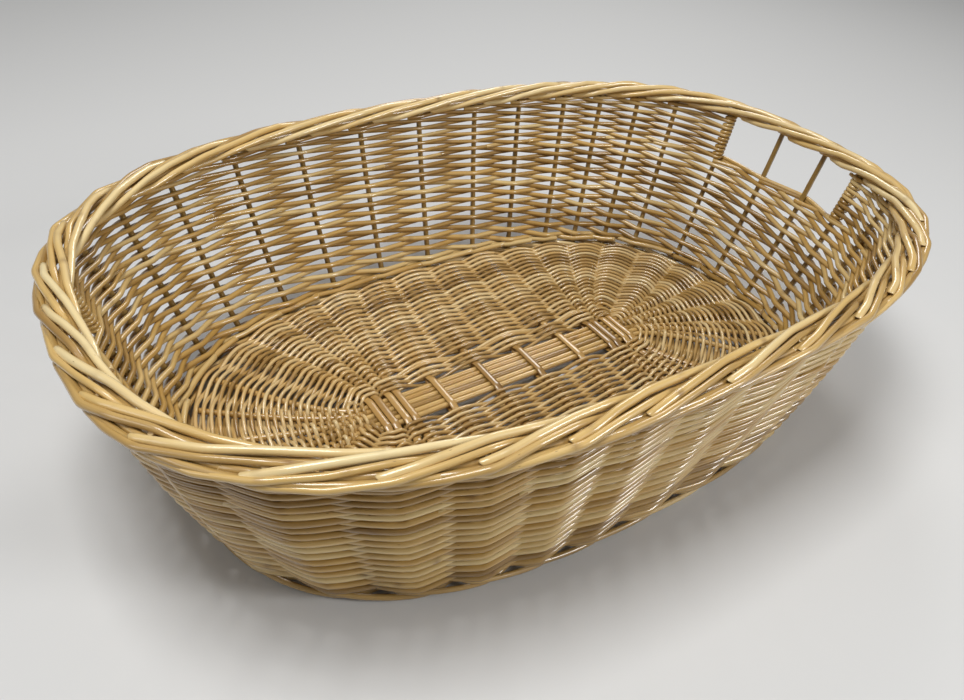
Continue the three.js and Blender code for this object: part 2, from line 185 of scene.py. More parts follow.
# %% [markdown]
# ## One rod
# A willow rod is a long cone that has been bent. It is thick at the butt and thin at the tip, swells a
# little at each bud scar, and is cut off at a slant. A curve with a bevel would do for its shape, but it
# can't tell a material where the butt is. A circle carried along a path gives the same shape, and each of
# its points also keeps its own measure along and round the rod. So the grain can follow every bend, and a
# tone of its own keeps two rods from having quite the same shade.

# %% The shape of a rod
UP = np.array([0.0, 0.0, 1.0])
WANDER_SHARES = (1.0, 0.57, 0.31)
WANDER_PEAK = 1.9
SCAR_SPACING = 0.055
SCAR_WIDTH = 0.0035


def unit(vectors):
    """Vectors of length one along the last axis."""
    return vectors / np.linalg.norm(vectors, axis=-1, keepdims=True)


def walked_along(path):
    """Distance walked along a path to each of its points."""
    return np.concatenate([[0], np.cumsum(np.linalg.norm(np.diff(path, axis=0), axis=1))])


def wander(random, length, size, period):
    """A slow random wave along a rod: three sines of random phase, of a period and of shares of it."""
    total = 0
    for share in WANDER_SHARES:
        phase = random.uniform(0, 2 * np.pi)
        total = total + share * np.sin(2 * np.pi * length / (period * share) + phase)
    return total * size / WANDER_PEAK


def bud_scars(random, length):
    """Strength of the bud scars along a rod: bell curves, exp(-(distance / SCAR_WIDTH)^2), 1 at most."""
    scar = np.zeros_like(length)
    at = random.uniform(0, SCAR_SPACING)
    while at < length[-1]:
        scar = scar + np.exp(-((length - at) / SCAR_WIDTH) ** 2) * random.uniform(0.3, 1.0)
        at += SCAR_SPACING * random.uniform(0.6, 1.7)
    return np.clip(scar, 0, 1)


def tube_faces(first, ring_count, sides):
    """Corners of a tube's four-sided faces and of the two fans that close it, numbered from its first
    point. The points go ring by ring, and the middles of the two ends come last."""
    row = first + sides * np.arange(ring_count - 1)[:, None]
    here = np.arange(sides)
    after = (here + 1) % sides
    quads = np.stack([row + here, row + sides + here, row + sides + after, row + after], -1).reshape(-1, 4)
    start = first + ring_count * sides
    final = start - sides
    first_fan = np.stack([np.full(sides, start), first + here, first + after], -1)
    last_fan = np.stack([np.full(sides, start + 1), final + after, final + here], -1)
    return quads, [first_fan, last_fan]


print("bud scars: about", round(SCAR_SPACING / MM), "mm apart")

# %% A bundle of rods
SCAR_SWELLING = 0.07
SCAR_SHARPNESS = 1.5
SCAR_BACK = 0.15
CHAMFER_SIZE = 0.86
CHAMFER_LENGTH = 0.3
LONGEST_OFFSET = 50


def new_bundle():
    """An empty bundle, with lists for points, for faces and for the measures that the material reads."""
    return {"points": [], "quads": [], "fans": [], "fibre": [], "rod": [], "scar": [], "count": 0}


def add_rod(bundle, random, path, butt, tip, sides=8, up=UP, slant=0.35, tone=None, flat=1.0, tucked=False):
    """Carries a round section along a path. The radius goes evenly from butt to tip, and swells at each bud
    scar. A ring's points stand on the directions across the path: side = along x up, and lift = side x
    along, so that a ring is path + radius (cos side + flat sin lift). Each end has one ring more, a little
    smaller and slanted by a cosine of the angle, and a middle point that closes it. A tucked rod is longest
    on its upper side, so that both cuts face down."""
    length = walked_along(path)
    along = unit(np.gradient(path, axis=0))
    side = unit(np.cross(along, up))
    lift = np.cross(side, along)
    scar = bud_scars(random, length)
    radius = (butt + (tip - butt) * (length / length[-1])) * (1 + SCAR_SWELLING * scar)
    angle = 2 * np.pi * np.arange(sides) / sides
    around = np.cos(angle)[:, None] * side[:, None, :] + flat * np.sin(angle)[:, None] * lift[:, None, :]
    rings = path[:, None, :] + radius[:, None, None] * around
    longest = np.pi / 2 if tucked else random.uniform(0, 2 * np.pi)
    lean = slant * np.cos(angle - longest)[:, None]
    first_lean = -lean if tucked else lean
    first = path[0] + radius[0] * (CHAMFER_SIZE * around[0] + (first_lean - CHAMFER_LENGTH) * along[0])
    last = path[-1] + radius[-1] * (CHAMFER_SIZE * around[-1] + (lean + CHAMFER_LENGTH) * along[-1])
    rings[0] += radius[0] * first_lean * along[0]
    rings[-1] += radius[-1] * lean * along[-1]
    rings = np.concatenate([first[None], rings, last[None]])
    quads, fans = tube_faces(bundle["count"], len(rings), sides)
    bundle["points"] += [rings.reshape(-1, 3), first.mean(0)[None], last.mean(0)[None]]
    bundle["quads"].append(quads)
    bundle["fans"] += fans
    bundle["count"] += len(rings) * sides + 2
    add_measures(bundle, random, length, radius, scar, angle, tone)


def add_measures(bundle, random, length, radius, scar, angle, tone):
    """What the material reads at each point. fibre is the place in the straightened rod: along it, from a
    random start, and twice across it. rod is the tone, one more random number, and 1 on a cut end. scar is
    the strength of the bud scars, most of it on the side that the bud stood on."""
    ring_count = len(length) + 2
    offset = random.uniform(0, LONGEST_OFFSET)
    ring_length = np.concatenate([[0], length, [length[-1]]])
    ring_radius = np.concatenate([[radius[0]], radius, [radius[-1]]])[:, None]
    fibre = np.empty((ring_count, len(angle), 3))
    fibre[..., 0] = ring_length[:, None] + offset
    fibre[..., 1] = ring_radius * np.cos(angle)
    fibre[..., 2] = ring_radius * np.sin(angle)
    bundle["fibre"] += [fibre.reshape(-1, 3), np.array([[offset, 0, 0], [offset + length[-1], 0, 0]])]
    marks = np.zeros((ring_count, len(angle), 3))
    marks[..., 0] = random.uniform(0, 1) if tone is None else tone
    marks[..., 1] = random.uniform(0, 1)
    marks[[0, -1], :, 2] = 1
    bundle["rod"] += [marks.reshape(-1, 3), marks[[0, -1], 0]]
    ring_scar = np.concatenate([[0], scar ** SCAR_SHARPNESS, [0]])
    bud_side = np.clip(np.cos(angle - random.uniform(0, 2 * np.pi)), 0, 1) ** 2
    bundle["scar"] += [np.outer(ring_scar, SCAR_BACK + (1 - SCAR_BACK) * bud_side).ravel(), np.zeros(2)]


print("a bundle holds:", ", ".join(new_bundle()))

# %% From a bundle to a piece
def make_piece(name, bundle, material, replaced):
    """Turns the rods of a bundle into one mesh that stands for the given solids."""
    points = np.concatenate(bundle["points"])
    quads = np.concatenate(bundle["quads"])
    fans = np.concatenate(bundle["fans"])
    mesh = bpy.data.meshes.new(name)
    mesh.vertices.add(len(points))
    mesh.vertices.foreach_set("co", points.ravel())
    corners = np.concatenate([quads.ravel(), fans.ravel()])
    mesh.loops.add(len(corners))
    mesh.loops.foreach_set("vertex_index", corners.astype(np.int32))
    starts = np.concatenate([4 * np.arange(len(quads)), 4 * len(quads) + 3 * np.arange(len(fans))])
    mesh.polygons.add(len(starts))
    mesh.polygons.foreach_set("loop_start", starts.astype(np.int32))
    smooth = np.concatenate([np.ones(len(quads), bool), np.zeros(len(fans), bool)])
    mesh.polygons.foreach_set("use_smooth", smooth)
    mesh.update(calc_edges=True)
    for title, kind, field in (("fibre", "FLOAT_VECTOR", "vector"), ("rod", "FLOAT_VECTOR", "vector"),
                               ("scar", "FLOAT", "value")):
        layer = mesh.attributes.new(title, kind, "POINT")
        layer.data.foreach_set(field, np.concatenate(bundle[title]).astype(np.float32).ravel())
    mesh.materials.append(material)
    piece = add_object(name, mesh)
    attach(piece, "root")
    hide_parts(*replaced)
    print(name, len(points), "points,", 2 * len(quads) + len(fans), "triangles")


# %% [markdown]
# ## Varnished buff willow
# Buff willow is boiled in its bark and then peeled, which stains it anything from straw to tan. One noise
# over the whole bed would look like stained plastic, because each rod takes the stain in its own way. So the
# shade belongs to the rod first, and drifts along it second. Thin fibres run lengthwise. Real ones are a
# few tenths of a millimetre wide and wouldn't show, so they are drawn 0.9 mm wide. A bud scar is a small dark
# swelling, and a cut end shows pale dry pith. A coat of clear varnish gives the long white highlights.

# %% Colours and nodes
def linear(hex_colour):
    """The linear value of an sRGB hex colour, by the standard curve, with alpha 1."""
    values = [int(hex_colour[i:i + 2], 16) / 255 for i in (1, 3, 5)]
    return [v / 12.92 if v <= 0.04045 else ((v + 0.055) / 1.055) ** 2.4 for v in values] + [1.0]


def add_node(tree, kind, settings=None, values=None, links=None):
    """Adds one node, sets its properties and its unlinked inputs, and links the others."""
    node = tree.nodes.new(kind)
    for name, value in (settings or {}).items():
        setattr(node, name, value)
    for name, value in (values or {}).items():
        node.inputs[name].default_value = value
    for name, source in (links or {}).items():
        tree.links.new(source, node.inputs[name])
    return node


print("straw in linear values:", rounded(linear("#e6d4a4")))

# %% What is seen in the wood
# Lengths along the rod and widths across it
FIBRE_SIZE = (60 * MM, 0.9 * MM)
DRIFT_SIZE = (90 * MM, 9 * MM)
SPECK_SIZE = (14 * MM, 3.2 * MM)
# How far tone, drift and fibres move the shade along the ramp, and where the middle and dark colours lie
TONE_WEIGHT = 0.55
DRIFT_WEIGHT = 0.55
FIBRE_WEIGHT = 0.22
PALE_AT = 0.25
MIDDLE_AT = 0.68
DARK_AT = 1.0
# Distances from the heart of a cell at which a speck begins and is full, and the strength of dark marks
SPECK_EDGE = 0.09
SPECK_CORE = 0.03
SPECK_STRENGTH = 0.7
SCAR_STRENGTH = 0.8
SCAR_COLOUR = "#6b4520"
PITH_COLOUR = "#d9bf8c"
# The varnish is smooth, and the wood below it is rougher, most of all on its fibres
LEAST_ROUGHNESS = 0.29
FIBRE_ROUGHNESS = 0.22
FIBRE_RELIEF = 0.25 * MM
RELIEF_STRENGTH = 0.35
WOOD_IOR = 1.5
VARNISH_ROUGHNESS = 0.1
print("fibres, mm:", rounded(np.array(FIBRE_SIZE) / MM), "specks, mm:", rounded(np.array(SPECK_SIZE) / MM))

# %% Willow
def willow(name, pale, middle, dark):
    """Varnished willow. The shade is a ramp that is read at the sum of the rod's tone, its drift and its
    fibres, each times its weight. Dark marks are the stronger one of the bud scars and of small specks."""
    material = bpy.data.materials.new(name)
    material.use_nodes = True
    tree = material.node_tree
    shader = tree.nodes["Principled BSDF"]
    fibre = add_node(tree, "ShaderNodeAttribute", {"attribute_name": "fibre"})
    rod = add_node(tree, "ShaderNodeAttribute", {"attribute_name": "rod"})
    scar = add_node(tree, "ShaderNodeAttribute", {"attribute_name": "scar"})
    parts = add_node(tree, "ShaderNodeSeparateXYZ", links={"Vector": rod.outputs["Vector"]})
    fine, slow, spots = [
        add_node(tree, "ShaderNodeVectorMath", {"operation": "MULTIPLY"},
                 {1: (1 / length, 1 / width, 1 / width)}, {0: fibre.outputs["Vector"]}).outputs["Vector"]
        for length, width in (FIBRE_SIZE, DRIFT_SIZE, SPECK_SIZE)]
    strands = add_node(tree, "ShaderNodeTexNoise", values={"Scale": 1.0, "Detail": 3.0, "Roughness": 0.6},
                       links={"Vector": fine})
    drift = add_node(tree, "ShaderNodeTexNoise", values={"Scale": 1.0, "Detail": 2.0, "Roughness": 0.5},
                     links={"Vector": slow})
    cells = add_node(tree, "ShaderNodeTexVoronoi", values={"Scale": 1.0}, links={"Vector": spots})

    tone = add_node(tree, "ShaderNodeMath", {"operation": "MULTIPLY"}, {1: TONE_WEIGHT},
                    {0: parts.outputs["X"]})
    with_drift = add_node(tree, "ShaderNodeMath", {"operation": "MULTIPLY_ADD"}, {1: DRIFT_WEIGHT},
                          {0: drift.outputs["Fac"], 2: tone.outputs[0]})
    shade = add_node(tree, "ShaderNodeMath", {"operation": "MULTIPLY_ADD"}, {1: FIBRE_WEIGHT},
                     {0: strands.outputs["Fac"], 2: with_drift.outputs[0]})
    ramp = add_node(tree, "ShaderNodeValToRGB", links={"Fac": shade.outputs[0]})
    first, last = ramp.color_ramp.elements
    first.position = PALE_AT
    first.color = linear(pale)
    last.position = DARK_AT
    last.color = linear(dark)
    ramp.color_ramp.elements.new(MIDDLE_AT).color = linear(middle)

    speck = add_node(tree, "ShaderNodeMapRange", values={"From Min": SPECK_EDGE, "From Max": SPECK_CORE,
                                                         "To Min": 0.0, "To Max": SPECK_STRENGTH},
                     links={"Value": cells.outputs["Distance"]})
    scar_shade = add_node(tree, "ShaderNodeMath", {"operation": "MULTIPLY"}, {1: SCAR_STRENGTH},
                          {0: scar.outputs["Fac"]})
    marks = add_node(tree, "ShaderNodeMath", {"operation": "MAXIMUM"},
                     links={0: scar_shade.outputs[0], 1: speck.outputs["Result"]})
    marked = add_node(tree, "ShaderNodeMix", {"data_type": "RGBA"}, {"B": linear(SCAR_COLOUR)},
                      {"Factor": marks.outputs[0], "A": ramp.outputs["Color"]})
    ended = add_node(tree, "ShaderNodeMix", {"data_type": "RGBA"}, {"B": linear(PITH_COLOUR)},
                     {"Factor": parts.outputs["Z"], "A": marked.outputs["Result"]})
    tree.links.new(ended.outputs["Result"], shader.inputs["Base Color"])

    gloss = add_node(tree, "ShaderNodeMath", {"operation": "MULTIPLY_ADD"},
                     {1: FIBRE_ROUGHNESS, 2: LEAST_ROUGHNESS}, {0: strands.outputs["Fac"]})
    tree.links.new(gloss.outputs[0], shader.inputs["Roughness"])
    bump = add_node(tree, "ShaderNodeBump", values={"Strength": RELIEF_STRENGTH, "Distance": FIBRE_RELIEF},
                    links={"Height": strands.outputs["Fac"]})
    tree.links.new(bump.outputs["Normal"], shader.inputs["Normal"])
    shader.inputs["IOR"].default_value = WOOD_IOR
    shader.inputs["Coat Weight"].default_value = 1.0
    shader.inputs["Coat Roughness"].default_value = VARNISH_ROUGHNESS
    return material


# %% The willows of the bed
side_willow = willow("varnished_buff_willow_side_rods", "#dbc58e", "#b9934e", "#84632c")
# The stakes' three colours are painted darker than the weavers', as shade: they stand for the shadow between
# the weavers.
stake_willow_painted_shade = willow("varnished_buff_willow_stakes_painted_shade", "#a98a4e", "#8d6f34", "#5d431c")
border_willow = willow("varnished_buff_willow_border_rods", "#e6d4a4", "#cdab68", "#97743a")
foot_willow = willow("varnished_buff_willow_foot_rods", "#e2cc98", "#c4a061", "#907038")
stick_willow = willow("varnished_buff_willow_base_sticks", "#cba868", "#b08849", "#82602d")
long_rod_willow = willow("varnished_buff_willow_long_rods", "#d4b16f", "#bc934e", "#8c6a30")
base_willow = willow("varnished_buff_willow_base_rods", "#e0ca98", "#c5a060", "#8a6830")
print("materials:", [m.name for m in bpy.data.materials if m.name.startswith("varnished")])

# %% [markdown]
# ## Stakes
# Thirty-five upright rods carry the side. They are woven in, so only short pieces of each can be seen between
# the weavers, and the handle holes show two of them bare. Their colours are painted darker than the weavers'
# as shade, for the shadow that falls on them between the weavers. They could stand dead straight, but a real
# stake gives way a little to every weaver, so each one sways by a quarter of a millimetre.

# %% Stakes
STAKE_RADIUS = 2.65 * MM
STAKE_TAPER = (1.03, 0.95)
STAKE_LOW = 3.2 * MM
STAKE_POINTS = 36
STAKE_SWAY = 0.25 * MM
SWAY_PERIOD = 0.09
STOUT_SIDES = 12


def make_stakes():
    """A rod up the wall at each stake's place, with a slow wave sideways. It is upright, so its sections are
    turned towards the outside instead of the top."""
    random = np.random.default_rng(11)
    for number, name in enumerate(STAKES):
        height = np.linspace(STAKE_LOW, RIM_HEIGHT, STAKE_POINTS)
        sway = wander(random, height, STAKE_SWAY, SWAY_PERIOD)
        path = wall(number + sway / stake_gap(number), height, 0.0)
        outwards = np.array([path[-1, 0], path[-1, 1], 0.0])
        butt, tip = (STAKE_RADIUS * share for share in STAKE_TAPER)
        bundle = new_bundle()
        add_rod(bundle, random, path, butt, tip, STOUT_SIDES, outwards)
        make_piece(f"{name}_rod", bundle, stake_willow_painted_shade, [name])


make_stakes()

# %% [markdown]
# ## The wale at the foot
# Three thick rods are twined round the bottom of the stakes. Each in turn passes outside two stakes and
# inside one, over the top of the other two. A twisted rope would be quicker to make, and looks much the same
# from outside. But it would have no hollows for the stakes to stand in, and no rods that cross inside.

# %% Foot wale
WALE_STRANDS = 3
WALE_RADIUS = 2.3 * MM
WALE_TAPER = 0.85
WALE_HEIGHT = 5.9 * MM
WALE_RISE = 3.2 * MM
WALE_OUTWARDS = STAKE_RADIUS + WALE_RADIUS
WALE_FLATNESS = 1.5
WALE_SIDES = 10
TUCK = 0.35
PLACE_STEP = 0.1


def wale_path(place, strand):
    """One strand of a wale: (1 - 4 cos) / 3 of a wave three stakes long is -1 inside one stake and +1
    outside the next two, and a tanh flattens it there. The height is 0.6 cos + 0.8 sin of the wave, which is
    highest where the strand comes out, to pass over the strand that goes in there."""
    wave = 2 * np.pi * (place - strand) / WALE_STRANDS
    reach = (1 - 4 * np.cos(wave)) / 3
    outwards = WALE_OUTWARDS * np.tanh(WALE_FLATNESS * reach) / np.tanh(WALE_FLATNESS)
    return wall(place, WALE_HEIGHT + WALE_RISE * (0.6 * np.cos(wave) + 0.8 * np.sin(wave)), outwards)


def make_foot_wale():
    """Three strands, each in rods of 9 to 15 stakes, which give way to each other inside a stake."""
    random = np.random.default_rng(21)
    bundle = new_bundle()
    for strand in range(WALE_STRANDS):
        place = strand
        while place < STAKE_COUNT:
            stop = min(place + WALE_STRANDS * random.integers(3, 6), STAKE_COUNT + strand)
            path = wale_path(np.arange(place - TUCK, stop + TUCK, PLACE_STEP), strand)
            add_rod(bundle, random, path, WALE_RADIUS, WALE_RADIUS * WALE_TAPER, WALE_SIDES)
            place = stop
    make_piece("foot_wale_rods", bundle, foot_willow, ["foot_wale"])


make_foot_wale()

# %% [markdown]
# ## The lower side
# Above the wale one rod starts behind each stake, with its butt inside the basket. All of them are woven on
# together, in front of one stake and behind the next, so that each climbs the wall on the back of the one
# before it. A stack of level rings would look nearly the same from far off, but it has no butts and tips, and
# the real rows lie closer together towards the top because the rods are thinner there. A rod at row r is at
# the same height whichever rod it is. So every stake has rods in front at even rows and behind at odd ones.

# %% Rows of the lower side
LOWER_FIRST = 14.8 * MM
LOWER_LAST = 119.4 * MM
LOWER_ROWS = 23
BOTTOM_PITCH = 5.45 * MM
CLOSING = (BOTTOM_PITCH * (LOWER_ROWS - 1) - (LOWER_LAST - LOWER_FIRST)) / (LOWER_ROWS - 1) ** 2
FOOT_FILL = 0.5
TOP_FILL = 0.56
FOLD = 0.985
HOLES = [(33, 36), (15, 18)]


def folded(wave):
    """Turns a cosine into a zigzag with slightly rounded corners, since a rod bends at the stakes and is
    straight between them: asin(FOLD cosine) / asin(FOLD)."""
    return np.arcsin(FOLD * wave) / math.asin(FOLD)


def lower_height(row):
    """Height of a row: first + pitch row - closing row^2. Before the first row it stays level."""
    row = np.clip(row, 0, None)
    return LOWER_FIRST + BOTTOM_PITCH * row - CLOSING * row ** 2


def lower_radius(row):
    """Half the distance from a row to the next, pitch - 2 closing row, or a little more towards the top."""
    fill = FOOT_FILL + (TOP_FILL - FOOT_FILL) * row / LOWER_ROWS
    return fill * (BOTTOM_PITCH - 2 * CLOSING * row)


def meets_hole(place):
    """Whether the side has a handle hole from this stake to the next one."""
    return any((place - before) % STAKE_COUNT < after - before for before, after in HOLES)


print("side rods, mm:", rounded([2 * lower_radius(0) / MM, 2 * lower_radius(LOWER_ROWS) / MM]))

# %% Lower side weave
STEPS_PER_GAP = 10
PAST_HOLE_ROW = 0.05
SHORT_OF_NEXT_ROW = 0.3
BUTT_INWARDS = 1.9
BUTT_LIFT = 4.5 * MM
LOWER_SWAY = 0.2 * MM
LOWER_UNEVEN = 0.45 * MM
EDGE_ROD_ENDS = 1.4
EDGE_ROD_ABOVE = 2.6 * MM
EDGE_ROD_UNEVEN = 0.3 * MM
EDGE_ROD_TONE = 0.3


def make_lower_weave():
    """Each rod is in front of its stakes by a folded cosine of its row, and its butt points inwards and up.
    It ends between two stakes, where a rod of the upper side goes on, or else level inside the edge of a
    handle hole. One rod more finishes each of these edges, and ends as thin as the last of the others."""
    random = np.random.default_rng(31)
    bundle = new_bundle()
    for stake in range(STAKE_COUNT):
        lead = random.uniform(0.35, 0.95)
        in_hole = meets_hole(stake + LOWER_ROWS - 1)
        stop = LOWER_ROWS + PAST_HOLE_ROW if in_hole else LOWER_ROWS - SHORT_OF_NEXT_ROW
        row = np.arange(-1 - lead, stop, 1 / STEPS_PER_GAP)
        own_size = random.uniform(0.93, 1.06)
        butt = lower_radius(0) * own_size
        tip = lower_radius(LOWER_ROWS) * own_size
        reach = STAKE_RADIUS + butt + (tip - butt) * row / LOWER_ROWS
        before = np.clip(-1 - row, 0, 1)
        outwards = reach * folded(np.cos(np.pi * row)) + wander(random, row, LOWER_SWAY, 4.0)
        outwards = np.where(row < -1, -reach - BUTT_INWARDS * butt * before, outwards)
        level = lower_height(np.minimum(row, LOWER_ROWS - 1) if in_hole else row)
        height = level + wander(random, row, LOWER_UNEVEN, 6.0) + BUTT_LIFT * before
        add_rod(bundle, random, wall(stake + row, height, outwards), butt, tip)
    edge_radius = lower_radius(LOWER_ROWS)
    for before, after in HOLES:
        place = np.arange(before - EDGE_ROD_ENDS, after + EDGE_ROD_ENDS, 1 / STEPS_PER_GAP)
        outwards = (STAKE_RADIUS + edge_radius) * folded(np.cos(np.pi * (place - before + 1)))
        height = LOWER_LAST + EDGE_ROD_ABOVE + wander(random, place, EDGE_ROD_UNEVEN, 4.0)
        add_rod(bundle, random, wall(place, height, outwards), edge_radius, tip, tone=EDGE_ROD_TONE)
    make_piece("side_weave_lower_rods", bundle, side_willow, ["side_weave_lower"])


make_lower_weave()

# %% [markdown]
# ## The upper side
# A handle hole at each end splits the top of the side in two. The holes could be cut out of an unbroken
# weave, but then cut ends would point into them, where a hand goes. On the real bed the rods climb on as
# before, and one that comes to the last stake before a hole turns back. It goes round that stake one and a
# half times, so that the stake is bound all the way up, and runs back along the next row.

# %% Paths of the upper side
UPPER_FIRST = 123.5 * MM
UPPER_LAST = 164.0 * MM
UPPER_ROWS = 12
UPPER_PITCH = (UPPER_LAST - UPPER_FIRST) / (UPPER_ROWS - 1)
UPPER_RADIUS = 0.53 * UPPER_PITCH
UPPER_START = -0.6
UPPER_STOP = UPPER_ROWS + 0.2
WRAP_STEPS = 30
WRAP_CLIMB = [0, 0.06, 0.94, 1]


def climb(start, first_row, last_row):
    """Place, row and share of the outward reach of a rod that is at a stake on a row, and climbs by a row
    at each stake. The lower side ended in front of the stakes, so that even rows are now behind them."""
    row = np.linspace(first_row, last_row, max(2, int(round((last_row - first_row) * STEPS_PER_GAP)) + 1))
    return np.stack([start + row, row, -folded(np.cos(np.pi * row))], -1)


def wrap(stake, row, towards):
    """One and a half turns round a stake, from a row behind it to the next row in front of it: a sine to
    the side and a cosine outwards, with nearly all of the climb in the middle one of three half turns."""
    turn = np.linspace(0, 3 * np.pi, WRAP_STEPS + 1)[1:-1]
    beyond = (STAKE_RADIUS + UPPER_RADIUS) / stake_gap(stake if towards > 0 else stake - 1)
    climbed = np.interp(turn / np.pi, [0, 1, 2, 3], WRAP_CLIMB)
    return np.stack([stake + towards * beyond * np.sin(turn), row + climbed, -np.cos(turn)], -1)


def upper_routes(first, last):
    """The rods of one half: hairpins round the first stake, plain rods, and hairpins round the last one."""
    routes = []
    for row in range(0, UPPER_ROWS, 2):
        down = climb(first - row, row, UPPER_STOP)[::-1]
        up = climb(first - row - 1, row + 1, UPPER_STOP)
        routes.append(np.concatenate([down, wrap(first, row, -1), up]))
    for start in range(first + 1, last - UPPER_ROWS + 1):
        routes.append(climb(start, UPPER_START, UPPER_STOP))
    for row in range(0, UPPER_ROWS, 2):
        down = climb(last - row - 1, UPPER_START, row + 1)[::-1]
        routes.append(np.concatenate([climb(last - row, UPPER_START, row), wrap(last, row, 1), down]))
    return routes


right_hole, left_hole = HOLES
back_routes = upper_routes(right_hole[1] - STAKE_COUNT, left_hole[0])
front_routes = upper_routes(left_hole[1], right_hole[0])
print("upper side:", len(back_routes), "rods at the back and", len(front_routes), "at the front")

# %% Upper side weave
UPPER_UNEVEN = 0.2 * MM


def make_upper_weave(name, seed, routes, replaced):
    """Puts the routes of one half on the wall. A rod's reach outwards is its share of the stake's radius and
    its own, and above the last row it stays level, under the border."""
    random = np.random.default_rng(seed)
    bundle = new_bundle()
    for route in routes:
        step = np.arange(len(route)) / STEPS_PER_GAP
        butt = UPPER_RADIUS * random.uniform(0.95, 1.05)
        tip = UPPER_RADIUS * random.uniform(0.86, 0.95)
        share = step / step[-1]
        height = UPPER_FIRST + UPPER_PITCH * np.minimum(route[:, 1], UPPER_ROWS - 1)
        height = height + wander(random, step, UPPER_UNEVEN, 5.0)
        outwards = route[:, 2] * (STAKE_RADIUS + butt + (tip - butt) * share)
        add_rod(bundle, random, wall(route[:, 0], height, outwards), butt, tip)
    make_piece(name, bundle, side_willow, [replaced])


make_upper_weave("side_weave_back_rods", 41, back_routes, "side_weave_back")
make_upper_weave("side_weave_front_rods", 42, front_routes, "side_weave_front")

# %% [markdown]
# ## The cross of the base
# A base starts as a cross. Twelve short sticks are slit in the middle, and six long rods are pushed
# through the slits. The sticks are flat and sit side by side in pairs at the ends. Further out, sticks and
# rods are opened into a fan of thirty-six spokes, on which the base is woven. Plain bars would run through
# each other where they cross. So each stick is made as its two halves, which part to let the long rods
# through, and a curve of its own takes each end to its place at the edge.

# %% Spokes
LONG_ROD_COUNT = 6
LONG_ROD_RADIUS = 2.75 * MM
LONG_ROD_PITCH = 5.8 * MM
STICK_HALF_WIDTH = 3.5 * MM
STICK_HALF_HEIGHT = 2.7 * MM
BASE_HEIGHT = 9.0 * MM
WEAVE_START = 2.6 * MM
EDGE_MARGIN = 12.3 * MM
FAN_BEND = 30.0 * MM
BASE_SKEW = 0.1
CURVE_STEPS = 100
SPOKE_END = FOOT_HALF - EDGE_MARGIN
SINGLE_STICKS = [-71 * MM, -24 * MM, 23 * MM, 70 * MM]
PAIRED_STICKS = [107 * MM, 114.6 * MM, 125.6 * MM, 133.2 * MM]
STICK_PLACES = [-x for x in reversed(PAIRED_STICKS)] + SINGLE_STICKS + PAIRED_STICKS
STICK_COUNT = len(STICK_PLACES)
SPOKE_COUNT = 2 * (STICK_COUNT + LONG_ROD_COUNT)
HALF_SPOKES = SPOKE_COUNT // 2
HALF_RODS = LONG_ROD_COUNT // 2
BUNDLE_HALF = LONG_ROD_COUNT * LONG_ROD_PITCH / 2
CROSS_HALF = np.array([PAIRED_STICKS[-1] + STICK_HALF_WIDTH, BUNDLE_HALF]) + WEAVE_START
spoke_angles, spoke_walked = walk_oval(*SPOKE_END)


def spoke_start(spoke):
    """Where a spoke leaves the cross, and in which direction. Spokes are numbered anticlockwise from the +X
    end. The second half of them is the first one turned by 180 degrees, except that sticks stay in place."""
    turned = spoke % HALF_SPOKES
    sign = 1 if spoke < HALF_SPOKES else -1
    end = 1 if turned < HALF_RODS else -1
    across = min(turned, HALF_SPOKES - 1 - turned)
    if across < HALF_RODS:
        start = np.array([end * CROSS_HALF[0], (across + 0.5) * LONG_ROD_PITCH])
        return sign * start, sign * end * np.array([1.0, 0.0])
    x = STICK_PLACES[::-sign][turned - HALF_RODS]
    return np.array([x, sign * CROSS_HALF[1]]), np.array([0.0, sign * 1.0])


def spoke_end(spoke):
    """Where a spoke meets the edge: evenly spaced by distance, and skewed as the sticks are."""
    walked = (spoke + 0.5) * spoke_walked[-1] / SPOKE_COUNT - BASE_SKEW * SPOKE_END[1]
    angle = np.interp(walked % spoke_walked[-1], spoke_walked, spoke_angles)
    return np.array(oval(*SPOKE_END, angle))


def spoke_curve(spoke, share):
    """A quadratic curve from the cross to the edge: (1-v)^2 start + 2 v (1-v) bend + v^2 end. The share
    that is asked for is one of the curve's length, so v is looked up from it first."""
    start, heading = spoke_start(spoke)
    bend = start + FAN_BEND * heading
    end = spoke_end(spoke)
    trial = np.linspace(0, 1, CURVE_STEPS + 1)[:, None]
    curve = (1 - trial) ** 2 * start + 2 * trial * (1 - trial) * bend + trial ** 2 * end
    walked = walked_along(curve)
    v = np.interp(np.asarray(share) * walked[-1], walked, trial[:, 0])[..., None]
    return (1 - v) ** 2 * start + 2 * v * (1 - v) * bend + v ** 2 * end


print("spokes:", SPOKE_COUNT, "from a cross of", rounded(2 * CROSS_HALF), "m")

# %% Long rods
LONG_ROD_TAPER = 0.93
LONG_ROD_SPOKE_POINTS = 30
LONG_ROD_MIDDLE_POINTS = 50
LONG_ROD_UNEVEN = 0.35 * MM
UNEVEN_PERIOD = 0.12


